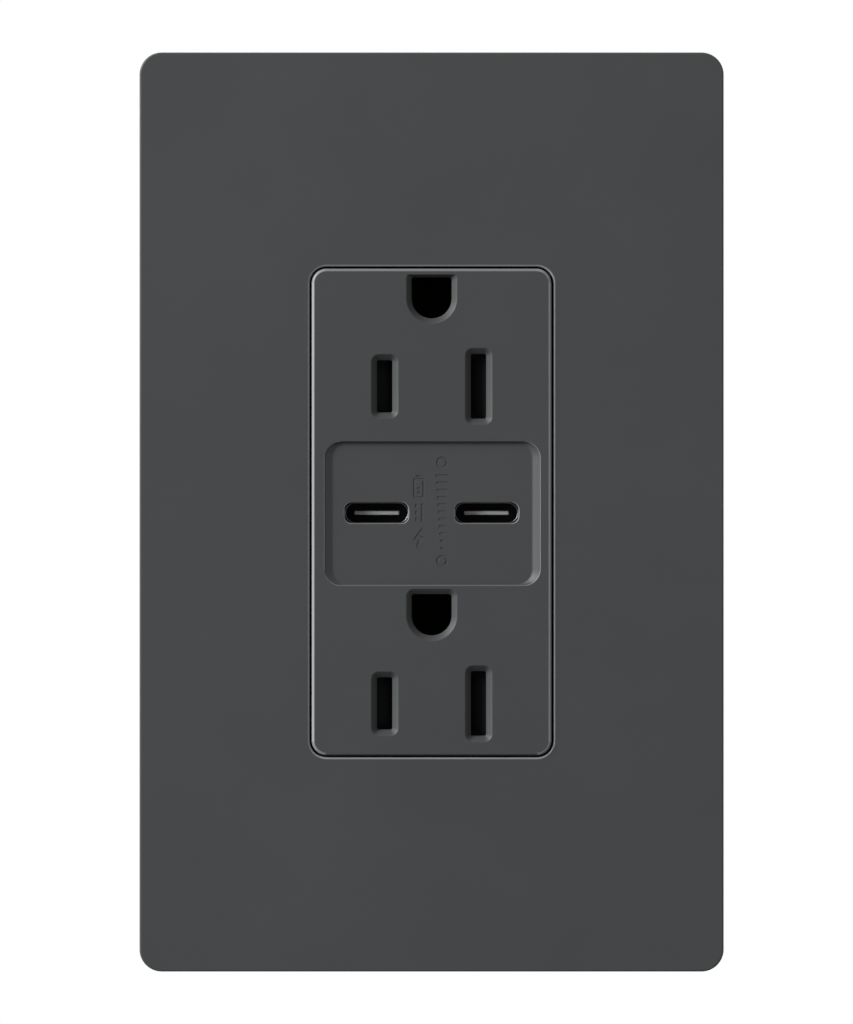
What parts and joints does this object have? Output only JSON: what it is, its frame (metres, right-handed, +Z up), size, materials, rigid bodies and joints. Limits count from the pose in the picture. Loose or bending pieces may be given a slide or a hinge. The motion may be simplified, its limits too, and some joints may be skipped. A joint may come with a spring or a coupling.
{
  "type": "duplex wall outlet",
  "caption": "Rectangular-face duplex power outlet with tamper shutters, a recessed charging-port panel and a screwless cover plate, ready to mount on a single-gang box.",
  "frame": {"origin": "middle of the device, on the plane of the finished wall surface", "axes": "+X right and +Z up as seen from the room, +Y into the wall"},
  "size_m": [0.079, 0.0389, 0.1244],
  "materials": {
    "graphite": "fine moulded texture, satin",
    "black_plastic": "moulded",
    "shutter_plastic": "smooth moulded",
    "zinc_steel": "zinc plated",
    "brass": "stamped",
    "nickel": "nickel plated",
    "green_steel": "green dyed zinc",
    "port_steel": "satin",
    "fibre": "pressed fibre",
    "circuit_board": "solder mask",
    "ferrite": "sintered",
    "winding_tape": "taped winding",
    "capacitor_sleeve": "shrunk sleeve",
    "chip_epoxy": "moulded epoxy"
  },
  "bodies": {
    "root": {"face_cover": "graphite", "sub_plate": "black_plastic", "plate_screw_top": "zinc_steel", "plate_screw_bottom": "zinc_steel", "mounting_strap": "zinc_steel", "screw_retainer_top": "fibre", "screw_retainer_bottom": "fibre", "ground_rivet_inner": "zinc_steel", "ground_rivet_outer": "zinc_steel", "upper_shutter_retainer": "black_plastic", "lower_shutter_retainer": "black_plastic", "port_shell_left": "port_steel", "port_shell_right": "port_steel", "port_tongue_left": "black_plastic", "port_tongue_right": "black_plastic", "rear_housing": "black_plastic", "body_screw_upper_left": "zinc_steel", "body_screw_upper_right": "zinc_steel", "body_screw_lower_left": "zinc_steel", "body_screw_lower_right": "zinc_steel", "contact_carrier": "black_plastic", "hot_bus": "brass", "neutral_bus": "brass", "ground_bus": "brass", "port_board": "circuit_board", "board_link_header": "black_plastic", "charger_board": "circuit_board", "transformer_core": "ferrite", "transformer_winding": "winding_tape", "input_capacitor": "capacitor_sleeve", "output_capacitor": "capacitor_sleeve", "bridge_rectifier": "chip_epoxy", "controller_chip": "chip_epoxy", "fuse": "fibre", "insulation_barrier": "fibre", "hot_lead": "black_plastic", "neutral_lead": "black_plastic", "upper_shutter_spring": "zinc_steel", "lower_shutter_spring": "zinc_steel"},
    "cover_plate": {"wall_plate": "graphite"},
    "upper_hot_shutter_leaf": {"upper_hot_shutter": "shutter_plastic"},
    "upper_neutral_shutter_leaf": {"upper_neutral_shutter": "shutter_plastic"},
    "lower_hot_shutter_leaf": {"lower_hot_shutter": "shutter_plastic"},
    "lower_neutral_shutter_leaf": {"lower_neutral_shutter": "shutter_plastic"},
    "upper_hot_clamp_body": {"upper_hot_clamp": "brass"},
    "upper_hot_screw_body": {"upper_hot_screw": "brass"},
    "upper_neutral_clamp_body": {"upper_neutral_clamp": "nickel"},
    "upper_neutral_screw_body": {"upper_neutral_screw": "nickel"},
    "lower_hot_clamp_body": {"lower_hot_clamp": "brass"},
    "lower_hot_screw_body": {"lower_hot_screw": "brass"},
    "lower_neutral_clamp_body": {"lower_neutral_clamp": "nickel"},
    "lower_neutral_screw_body": {"lower_neutral_screw": "nickel"},
    "ground_clamp_body": {"ground_clamp_plate": "nickel"},
    "ground_screw_body": {"ground_terminal_screw": "green_steel"},
    "mounting_screw_top_body": {"mounting_screw_top": "zinc_steel"},
    "mounting_screw_bottom_body": {"mounting_screw_bottom": "zinc_steel"}
  },
  "joints": [
    {"name": "cover_plate_pull", "type": "slide", "parent": "root", "child": "cover_plate", "axis": [0, -1, 0], "range_m": [0, 0.02]},
    {"name": "upper_hot_shutter_slide", "type": "slide", "parent": "root", "child": "upper_hot_shutter_leaf", "axis": [1, 0, 0], "range_m": [0, 0.0031], "stiffness_N_per_m": 60, "springref_m": -0.003, "deforming": ["upper_shutter_spring"]},
    {"name": "upper_neutral_shutter_slide", "type": "slide", "parent": "root", "child": "upper_neutral_shutter_leaf", "axis": [-1, 0, 0], "range_m": [0, 0.0031]},
    {"name": "lower_hot_shutter_slide", "type": "slide", "parent": "root", "child": "lower_hot_shutter_leaf", "axis": [1, 0, 0], "range_m": [0, 0.0031], "stiffness_N_per_m": 60, "springref_m": -0.003, "deforming": ["lower_shutter_spring"]},
    {"name": "lower_neutral_shutter_slide", "type": "slide", "parent": "root", "child": "lower_neutral_shutter_leaf", "axis": [-1, 0, 0], "range_m": [0, 0.0031]},
    {"name": "upper_hot_clamp_slide", "type": "slide", "parent": "root", "child": "upper_hot_clamp_body", "axis": [-1, 0, 0], "range_m": [0, 0.00258]},
    {"name": "upper_hot_screw_turn", "type": "hinge", "parent": "upper_hot_clamp_body", "child": "upper_hot_screw_body", "pos_m": [-0.0182, 0.0075, 0.012], "axis": [-1, 0, 0], "range_deg": [0, 1170]},
    {"name": "upper_neutral_clamp_slide", "type": "slide", "parent": "root", "child": "upper_neutral_clamp_body", "axis": [1, 0, 0], "range_m": [0, 0.00258]},
    {"name": "upper_neutral_screw_turn", "type": "hinge", "parent": "upper_neutral_clamp_body", "child": "upper_neutral_screw_body", "pos_m": [0.0182, 0.0075, 0.012], "axis": [1, 0, 0], "range_deg": [0, 1170]},
    {"name": "lower_hot_clamp_slide", "type": "slide", "parent": "root", "child": "lower_hot_clamp_body", "axis": [-1, 0, 0], "range_m": [0, 0.00258]},
    {"name": "lower_hot_screw_turn", "type": "hinge", "parent": "lower_hot_clamp_body", "child": "lower_hot_screw_body", "pos_m": [-0.0182, 0.0075, -0.012], "axis": [-1, 0, 0], "range_deg": [0, 1170]},
    {"name": "lower_neutral_clamp_slide", "type": "slide", "parent": "root", "child": "lower_neutral_clamp_body", "axis": [1, 0, 0], "range_m": [0, 0.00258]},
    {"name": "lower_neutral_screw_turn", "type": "hinge", "parent": "lower_neutral_clamp_body", "child": "lower_neutral_screw_body", "pos_m": [0.0182, 0.0075, -0.012], "axis": [1, 0, 0], "range_deg": [0, 1170]},
    {"name": "ground_clamp_slide", "type": "slide", "parent": "root", "child": "ground_clamp_body", "axis": [0, 0, -1], "range_m": [0, 0.00258]},
    {"name": "ground_screw_turn", "type": "hinge", "parent": "ground_clamp_body", "child": "ground_screw_body", "pos_m": [-0.012, 0.0065, -0.0421], "axis": [0, 0, -1], "range_deg": [0, 1170]},
    {"name": "mounting_screw_top_turn", "type": "hinge", "parent": "root", "child": "mounting_screw_top_body", "pos_m": [0, -0.0016, 0.04165], "axis": [0, -1, 0], "continuous": true},
    {"name": "mounting_screw_bottom_turn", "type": "hinge", "parent": "root", "child": "mounting_screw_bottom_body", "pos_m": [0, -0.0016, -0.04165], "axis": [0, -1, 0], "continuous": true}
  ],
  "couplings": [
    {"joint": "upper_neutral_shutter_slide", "follows": "upper_hot_shutter_slide", "ratio": 1},
    {"joint": "lower_neutral_shutter_slide", "follows": "lower_hot_shutter_slide", "ratio": 1},
    {"joint": "upper_hot_screw_turn", "follows": "upper_hot_clamp_slide", "rad_per_m": 7913.3},
    {"joint": "upper_neutral_screw_turn", "follows": "upper_neutral_clamp_slide", "rad_per_m": 7913.3},
    {"joint": "lower_hot_screw_turn", "follows": "lower_hot_clamp_slide", "rad_per_m": 7913.3},
    {"joint": "lower_neutral_screw_turn", "follows": "lower_neutral_clamp_slide", "rad_per_m": 7913.3},
    {"joint": "ground_screw_turn", "follows": "ground_clamp_slide", "rad_per_m": 7913.3}
  ]
}
